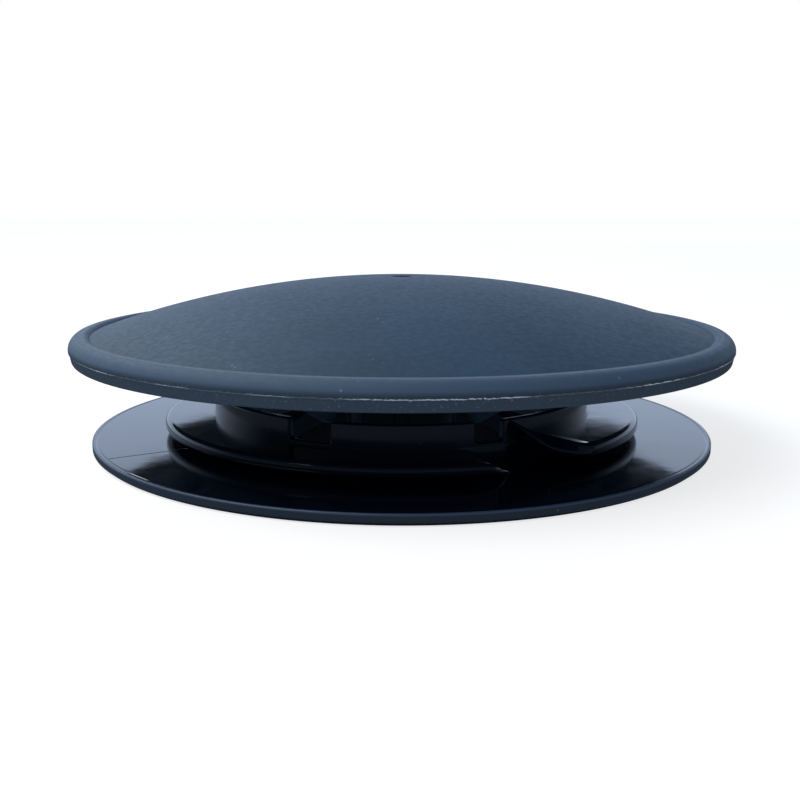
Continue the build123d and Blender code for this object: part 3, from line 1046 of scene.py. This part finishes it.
    def lip(self) -> Surface:
        """Screw-in lip: a rounded section carried once round the neck.

        Radii and heights of the section's corners are lines over azimuth: they dive into the flange at the
        trailing end, climb a little over the second half of the turn, and run up into the neck's top edge at
        the leading end. A running mean over about two degrees eases their bends.

        Returns:
            The surface.
        """
        bottom, top = self.plate_t + self.slot_h, self.plate_t + self.slot_h + self.lip_t
        width = self.lip_r - self.neck_r
        climb, low_climb = self.neck_top - 0.3 - top - self.lip_rise, self.neck_top - 1.2 - bottom
        drop = top - self.plate_t
        blade = np.array(
            [
                (14.2, 0.920, 0.970, 1.000, 1.000),
                (12.8, 0.560, 0.890, 0.775, 0.830),
                (11.2, 0.215, 0.790, 0.490, 0.655),
                (9.5, 0.040, 0.660, 0.305, 0.510),
                (7.5, 0.005, 0.485, 0.200, 0.395),
                (5.0, 0.000, 0.265, 0.105, 0.245),
                (2.5, 0.000, 0.090, 0.040, 0.100),
                (0.0, 0.000, 0.000, 0.000, 0.000),
            ]
        )
        sweep = np.linspace(0, 1, 13)[1:]
        dive = np.array(
            [
                (0.0, 0.000, 1.000, 1.00),
                (3.0, 0.020, 0.945, 0.98),
                (5.5, 0.085, 0.780, 0.80),
                (7.7, 0.180, 0.540, 0.40),
                (9.9, 0.310, 0.270, -0.30),
                (12.0, 0.450, 0.050, -0.60),
            ]
        )
        level = self.lip_start + (self.lip_const - self.lip_start) * sweep
        az = np.concatenate([self.lip_start - blade[:, 0], level, self.lip_end + dive[:, 0]])
        flat = np.zeros(len(sweep))
        r_low = self.lip_r - width * np.concatenate([blade[:, 1], flat, dive[:, 1]])
        r_high = self.lip_r - width * np.concatenate([blade[:, 2], flat, dive[:, 1]])
        z_low = np.concatenate(
            [bottom + low_climb * blade[:, 3], bottom + flat, self.plate_t + self.slot_h * dive[:, 3]]
        )
        z_high = np.concatenate(
            [
                top + self.lip_rise + climb * blade[:, 4],
                top + self.lip_rise * (1 - sweep) ** 2,
                self.plate_t + drop * dive[:, 2],
            ]
        )
        fine = np.arange(az[0], az[-1] + 0.01, self.lip_step)
        kernel = np.hanning(self.lip_ease) / np.hanning(self.lip_ease).sum()
        half = self.lip_ease // 2

        def eased(values: Array) -> Array:
            """Line over azimuth through a column of the table, with its bends eased.

            Args:
                values: the column.

            Returns:
                One value for each of the fine steps of azimuth.
            """
            line = np.interp(fine, az, values)
            before, after = 2 * line[0] - line[half:0:-1], 2 * line[-1] - line[-2:-2 - half:-1]
            padded = np.concatenate([before, line, after])
            return np.convolve(padded, kernel, mode="valid")

        low_r, high_r, low_z, high_z = (eased(v) for v in (r_low, r_high, z_low, z_high))
        thick = high_z - low_z
        nose = np.minimum(self.lip_nose, self.lip_nose_share * np.minimum(thick, high_r - self.neck_r + 0.3))
        inside = np.full_like(fine, self.neck_r - self.neck_wall / 2)
        lower, upper = (low_r, low_z, nose * 0.75), (high_r, high_z, nose)
        corners = corner_rows([(inside, low_z, 0.2), lower, upper, (inside, high_z, 0.2)])
        section = rounded(corners, 6, 0.3).reshape(len(fine), -1, 2)
        return skin(swung(section[..., 0], section[..., 1], fine[:, None]), closed=False)

    def ribs(self) -> Surface:
        """Radial ribs under the flange.

        Returns:
            Their surface.
        """
        inner = self.foot_r + self.stiffener_gap
        outer = self.plate_r - self.undercut - self.rim_w + self.overlap
        low, web = self.stiffener_z, self.plate_t - self.web_t + self.overlap
        step = 360 / self.stiffeners
        azimuths = [step * (k + 0.5) for k in range(self.stiffeners)]
        corners = [(inner, low, 0.1), (outer, low, 0.1), (outer, web, 0.1), (inner, web, 0.1)]
        return plates(corners, self.stiffener_w, azimuths, 0.25)

    def witness_line(self) -> Surface:
        """Hair-thin raised line across the flange, where two halves of the mould met.

        Returns:
            Its surface, in two parts.
        """
        inner, outer = self.foot_r + self.witness_gap, self.groove_r - self.witness_sunk
        sunk, top = self.plate_t - self.witness_sunk, self.plate_t + self.witness_h
        corners = [(inner, sunk, 0.02), (outer, sunk, 0.02), (outer, top, 0.03), (inner, top, 0.03)]
        return plates(corners, self.witness_w, [self.witness, self.witness + 180], 0.05)

    def build(self, finish: bpy.types.Material) -> None:
        """Make the pieces and let them stand for the CAD moulding.

        Args:
            finish: material of the moulding.
        """
        moulding = add_piece("base_moulding", self.moulding(), finish, Body.BASE)
        add_piece("screw_lip", self.lip(), finish, Body.BASE)
        add_piece("flange_ribs", self.ribs(), finish, Body.BASE)
        add_piece("mould_line", self.witness_line(), finish, Body.BASE)
        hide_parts("base_flange")


@dataclass
class Cap:
    """Domed cap with its rolled rim, fins, drip ring and boss: one matte moulding. Sizes in mm."""

    cap_r: float = 114.28
    bead_a: float = 4.8
    bead_b: float = 4.3
    crown_r: float = 2.6
    crown_steps: int = 25
    flank_steps: int = 13
    flank_in: float = 0.06
    bead_z: float = 35.05
    parting_drop: float = 0.4
    parting_step: float = 0.3
    flash_wave: float = 0.10
    skirt_h: float = 4.1
    skirt_draft: float = 0.5
    skirt_round: float = 1.0
    valley_h: float = 3.2
    dome_rise: float = 18.25
    shell: float = 2.6
    dimple_r: float = 3.6
    dimple_d: float = 0.7
    dimple_spread: float = 1.2
    fins: int = 8
    fin_angle: float = 22.5
    fin_w: float = 3.4
    fin_tip_r: float = 60.0
    fin_tip_z: float = 15.5
    fin_slope: float = 0.461
    fin_root_r: float = 46.0
    fin_inner_z: float = 38.0
    fin_gap: float = 5.0
    fin_over: tuple[float, ...] = (80.0, 60.0, 40.0, 20.0)
    boss_r: float = 12.0
    boss_z: float = 30.5
    spigot_r: float = 8.4
    spigot_h: float = 1.0
    insert_r: float = 7.5
    insert_top: float = 41.5
    bolt_room_r: float = 5.6
    bolt_room_h: float = 3.0
    axis_gap: float = 0.6
    drip_r: float = 90.0
    drip_w: float = 1.6
    drip_z: float = 37.0

    def __post_init__(self) -> None:
        """Work out the groove, the bead's flank and the dome's sphere."""
        self.bead_r = self.cap_r - self.bead_a
        self.crown_z = self.bead_b - self.crown_r
        self.flank_r = (self.crown_r ** 2 - self.bead_a ** 2 - self.crown_z ** 2) / (
            2 * (self.crown_r - self.bead_a)
        )
        self.skirt_r = self.cap_r - self.parting_step - self.skirt_draft
        self.skirt_z = self.bead_z - self.skirt_h
        self.valley_z = self.bead_z + self.valley_h
        self.valley_r = self.bead_r - np.sqrt(self.crown_r ** 2 - (self.valley_h - self.crown_z) ** 2)
        self.top = self.valley_z + self.dome_rise
        self.sphere_r = (self.valley_r ** 2 + self.dome_rise ** 2) / (2 * self.dome_rise)
        self.sphere_z = self.top - self.sphere_r

    def dome_z(self, r: Array, inset: float = 0.0) -> Array:
        """Height of the dome, or of the surface inset below it, at a radius."""
        return self.sphere_z + np.sqrt((self.sphere_r - inset) ** 2 - np.asarray(r, float) ** 2)

    def bead(self) -> Array:
        """Rim from the groove over its bead and down its skirt.

        A small arc at the crown meets a broad outer arc tangentially. Below the parting line the skirt stands
        parting_step further in.

        Returns:
            Array (n, 2) of radius and height.
        """
        reach = self.flank_r - self.crown_r
        joint_x = self.crown_r * (self.flank_r - self.bead_a) / reach
        joint_z = self.flank_r * self.crown_z / reach
        turn = np.arctan2(joint_z - self.crown_z, joint_x)
        valley = np.pi - np.arcsin((self.valley_h - self.crown_z) / self.crown_r)
        angle = np.linspace(valley, turn, self.crown_steps + 1)[1:]
        centre = np.array([self.bead_r, self.bead_z + self.crown_z])
        upper = centre + self.crown_r * np.stack([np.cos(angle), np.sin(angle)], -1)
        middle = self.cap_r - self.flank_r - self.flank_in
        fall = np.linspace(joint_z, -self.parting_drop + 0.12, self.flank_steps + 1)[1:]
        flank = np.stack([middle + np.sqrt(self.flank_r ** 2 - fall ** 2), self.bead_z + fall], -1)
        parting = self.bead_z - self.parting_drop
        flash = np.array([(self.cap_r, parting), (self.cap_r, parting - 0.1)])
        share = np.array([0.0, 0.06, 0.2, 0.5, 0.8, 0.94, 1.0])[:, None]
        top = np.array([self.cap_r - self.parting_step, parting - 0.2])
        low = np.array([self.skirt_r, self.skirt_z + self.skirt_round])
        skirt = top + (low - top) * share
        angle = np.linspace(0, np.pi / 2, 9)[1:]
        foot = low + self.skirt_round * np.stack([np.cos(angle) - 1, -np.sin(angle)], -1)
        return np.vstack([upper, flank, flash, skirt, foot])

    def shell_surface(self) -> Surface:
        """Dome, rim and the hollow below them as one closed surface.

        The dome is a sphere's cap, less a shallow dimple at the top, which is dimple_d (1 - (r / R)^2)^2 deep
        with R dimple_spread times dimple_r. The flash on the parting line is drawn in unevenly, by a random
        line round the rim.

        Returns:
            The surface.
        """
        first, split = 0.15, self.dimple_r * 1.3
        near = np.linspace(first, split, 14)
        far = np.linspace(split, self.valley_r - 0.5, 74)[1:]
        r = np.concatenate([near, far])
        dip = self.dimple_d * np.clip(1 - (r / self.dimple_r / self.dimple_spread) ** 2, 0, 1) ** 2
        dome_line = np.stack([r, self.dome_z(r) - dip], -1)
        foot = np.array([self.valley_r, self.valley_z]) + [(-0.12, 0.0), (0.12, 0.05)]
        inner_r = self.valley_r - 3.5
        lip_in = self.cap_r - self.shell
        hollow = [
            (self.skirt_r - self.skirt_round, self.skirt_z, 0.1),
            (lip_in, self.skirt_z, 0.25),
            (lip_in - 0.8, self.skirt_z + 0.9, 0.4),
            (lip_in - 1.2, self.bead_z - 0.1, 0.8),
            (lip_in - 2.4, self.bead_z + 1.0, 0.8),
            (inner_r, float(self.dome_z(inner_r, self.shell)), 0.6),
            (inner_r - 8, float(self.dome_z(inner_r - 8, self.shell)), 0.1),
            (inner_r - 8, self.skirt_z, 0.1),
        ]
        under = rounded(np.array(hollow), 4, 0.2)[1:6].reshape(-1, 2)
        r_in = np.linspace(inner_r - 1.5, first, 40)
        inner_line = np.stack([r_in, self.dome_z(r_in, self.shell)], -1)
        profile = np.vstack([dome_line, foot, self.bead(), under, inner_line])
        azimuth = np.arange(360.0)
        radius = np.repeat(profile[:, :1], len(azimuth), axis=1)
        flash = len(dome_line) + len(foot) + self.crown_steps + self.flank_steps
        radius[flash:flash + 2] -= self.flash_wave * (1 + wave(azimuth, 5, 12, 90))
        return skin(swung(radius, profile[:, 1:], azimuth), closed=False)

    def fin_surface(self) -> Surface:
        """Radial fins under the dome, which reach into the mouth of the neck.

        Returns:
            Their surface.
        """
        outer, inner = self.valley_r - self.fin_gap, self.boss_r - 2
        over = [(r, float(self.dome_z(r, self.shell / 2)), 0.1) for r in (outer, *self.fin_over, inner)]
        corners = [
            (self.fin_tip_r, self.fin_tip_z, 0.4),
            (outer, self.fin_tip_z + (outer - self.fin_tip_r) * self.fin_slope, 0.3),
            *over,
            (inner, self.fin_inner_z, 0.3),
            (self.fin_root_r, self.fin_inner_z, 4.0),
            (self.fin_tip_r - 2.0, self.fin_tip_z, 0.5),
        ]
        step = 360 / self.fins
        return plates(corners, self.fin_w, [self.fin_angle + step * k for k in range(self.fins)], 0.45)

    def inner_rings(self) -> Surface:
        """Drip ring and boss under the dome.

        Returns:
            Their surface.
        """
        drip_in, drip_out = self.drip_r - self.drip_w / 2, self.drip_r + self.drip_w / 2
        drip_top, boss_top = (float(self.dome_z(r, self.shell / 2)) for r in (self.drip_r, self.boss_r))
        drip = outline(
            [
                (drip_in, self.drip_z, 0.5),
                (drip_out, self.drip_z, 0.5),
                (drip_out, drip_top, 0.1),
                (drip_in, drip_top, 0.1),
            ]
        )
        boss = outline(
            [
                (self.insert_r, self.boss_z - self.spigot_h, 0.15),
                (self.spigot_r, self.boss_z - self.spigot_h, 0.3),
                (self.spigot_r, self.boss_z, 0.15),
                (self.boss_r, self.boss_z, 0.5),
                (self.boss_r, boss_top, 0.1),
                (self.axis_gap, boss_top, 0.1),
                (self.axis_gap, self.insert_top + self.bolt_room_h, 0.1),
                (self.bolt_room_r, self.insert_top + self.bolt_room_h, 0.3),
                (self.bolt_room_r, self.insert_top, 0.1),
                (self.insert_r, self.insert_top, 0.1),
            ]
        )
        return gathered([lathe(drip, 200), lathe(boss, 96)])

    def build(self, finish: bpy.types.Material) -> None:
        """Make the pieces and let them stand for the CAD cap.

        Args:
            finish: material of the moulding.
        """
        shell = add_piece("cap_shell", self.shell_surface(), finish, Body.CAP)
        add_piece("cap_fins", self.fin_surface(), finish, Body.CAP)
        add_piece("cap_boss", self.inner_rings(), finish, Body.CAP)
        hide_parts("domed_cap")


@dataclass
class Clamp:
    """Pieces inside the vent that keep their CAD shape and get a finish."""

    finishes: dict[str, Finish] = field(
        default_factory=lambda: {
            "hub_spider": SatinPlastic((0.016, 0.018, 0.022), roughness=0.38),
            "spider_screws": TurnedMetal((0.62, 0.62, 0.60), 0.24),
            "thread_insert": TurnedMetal((0.72, 0.52, 0.22), 0.26),
            "hub_gasket": Rubber(),
            "clamp_bolt": TurnedMetal((0.60, 0.60, 0.59), 0.28),
            "bolt_clip": TurnedMetal((0.42, 0.42, 0.43), 0.34),
            "knob_washer": TurnedMetal((0.64, 0.64, 0.62), 0.22),
            "hand_knob": SatinPlastic((0.014, 0.015, 0.017), 1100.0, 0.46),
        }
    )

    def build(self) -> None:
        """Dress each CAD node in its own finish."""
        for node, finish in self.finishes.items():
            piece = bpy.data.objects[node]
            piece.data.materials.clear()
            piece.data.materials.append(finish.make(f"{node}_finish"))
            log.info("%s: dressed", node)


# Studio


@dataclass(frozen=True)
class Lamp:
    """Square area lamp that looks at the object's middle. Lengths in metres, power in watts."""

    name: str
    place: tuple[float, float, float]
    side: float
    power: float
    colour: Colour
    aim: tuple[float, float, float] = (0.0, 0.0, 0.03)

    def hang(self) -> None:
        """Put the lamp in the scene."""
        data = bpy.data.lights.new(self.name, "AREA")
        data.size, data.energy, data.color = self.side, self.power, self.colour
        lamp = bpy.data.objects.new(self.name, data)
        lamp.location = self.place
        lamp.rotation_euler = (Vector(self.aim) - Vector(self.place)).to_track_quat("-Z", "Y").to_euler()
        bpy.context.collection.objects.link(lamp)


@dataclass
class Studio:
    """Floor, light and camera. Lengths in metres, angles in radians, the camera's focal length in pixels."""

    floor_r: float = 6.0
    floor_drop: float = 0.00005
    floor_sides: int = 64
    distance: float = 0.3422802
    eye: float = 0.0811368
    pitch: float = 0.2011
    pan: float = 0.0017
    roll: float = 0.002
    focal: float = 953.9676
    picture: float = 800.0
    sensor_mm: float = 36.0
    lamps: tuple[Lamp, ...] = (
        Lamp("key", (-0.7, -0.3, 1.0), 0.9, 9.0, (1.0, 0.99, 0.97)),
        Lamp("back", (-0.8, 0.6, 1.1), 1.0, 8.5, (0.97, 0.99, 1.0)),
    )

    def floor(self) -> None:
        """Round floor just below the object."""
        a = np.linspace(0, 2 * np.pi, self.floor_sides, endpoint=False)
        x, y = self.floor_r * np.sin(a), self.floor_r * np.cos(a)
        rim = np.stack(np.broadcast_arrays(x, y, -self.floor_drop), -1)
        mesh = bpy.data.meshes.new("floor")
        mesh.from_pydata(rim.tolist(), [], [list(range(self.floor_sides))[::-1]])
        mesh.materials.append(FloorPaint().make("floor_paint"))
        floor = bpy.data.objects.new("floor", mesh)
        bpy.context.collection.objects.link(floor)

    def camera(self) -> None:
        """Camera at the photograph's place, as far as its perspective tells."""
        data = bpy.data.cameras.new("camera")
        data.sensor_width = self.sensor_mm
        data.lens = self.focal * self.sensor_mm / self.picture
        data.clip_start, data.clip_end = 0.01, 50.0
        camera = bpy.data.objects.new("camera", data)
        turn = Matrix.Rotation(self.pan, 4, "Z") @ Matrix.Rotation(np.pi / 2 - self.pitch, 4, "X")
        turn = turn @ Matrix.Rotation(self.roll, 4, "Z")
        camera.matrix_world = Matrix.Translation((0, -self.distance, self.eye)) @ turn
        bpy.context.collection.objects.link(camera)
        bpy.context.scene.camera = camera

    def build(self) -> None:
        """Set up the whole studio."""
        self.camera()
        self.floor()
        bpy.context.scene.world = Daylight().make("daylight")
        for lamp in self.lamps:
            lamp.hang()
        bpy.context.scene.view_settings.view_transform = "Standard"


def main() -> None:
    """Build the vent in order: studio, base, cap, and the clamp inside."""
    logging.basicConfig(level=logging.INFO, format="%(name)s: %(message)s")
    Studio().build()
    Base().build(GlossMoulding().make("gloss_moulding"))
    Cap().build(GrainedShell().make("grained_shell"))
    Clamp().build()


if __name__ == "__main__":
    main()
